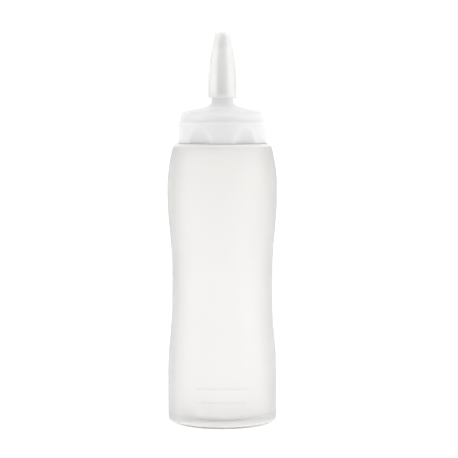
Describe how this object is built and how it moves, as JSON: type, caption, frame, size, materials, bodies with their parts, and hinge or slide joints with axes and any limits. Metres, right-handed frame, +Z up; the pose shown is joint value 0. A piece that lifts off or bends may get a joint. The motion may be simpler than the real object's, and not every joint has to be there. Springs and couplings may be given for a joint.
{
  "type": "squeezable sauce bottle",
  "caption": "Waisted squeeze bottle for sauce with a screw lid, a two-stage spout and a clear pull-off spout cover.",
  "frame": {"origin": "centre of the base on the surface that the bottle stands on", "axes": "+Z up along the bottle and its spout, -Y towards the front with the write-on lines, +X to the right as seen from the front"},
  "size_m": [0.075, 0.075, 0.266],
  "materials": {
    "milky_bottle": "soft milky see-through polyethylene, satin",
    "seal": "soft pale silicone",
    "milky_lid": "natural white polyethylene, moulded, half gloss",
    "clear_cover": "clear moulded polypropylene, glossy"
  },
  "bodies": {
    "bottle": {"bottle": "milky_bottle"},
    "sealing_ring": {"sealing_ring": "seal"},
    "lid": {"lid": "milky_lid"},
    "nozzle_cover": {"nozzle_cover": "clear_cover"}
  },
  "joints": [
    {"name": "lid_lift", "type": "slide", "parent": "bottle", "child": "sealing_ring", "axis": [0, 0, 1], "range_m": [0, 0.0201]},
    {"name": "lid_turn", "type": "hinge", "parent": "sealing_ring", "child": "lid", "pos_m": [0, 0, 0.2], "axis": [0, 0, 1], "range_deg": [0, 900]},
    {"name": "cover_pull", "type": "slide", "parent": "lid", "child": "nozzle_cover", "axis": [0, 0, 1], "range_m": [0, 0.048]}
  ],
  "couplings": [
    {"joint": "lid_lift", "follows": "lid_turn", "m_per_rad": 0.0012732}
  ]
}
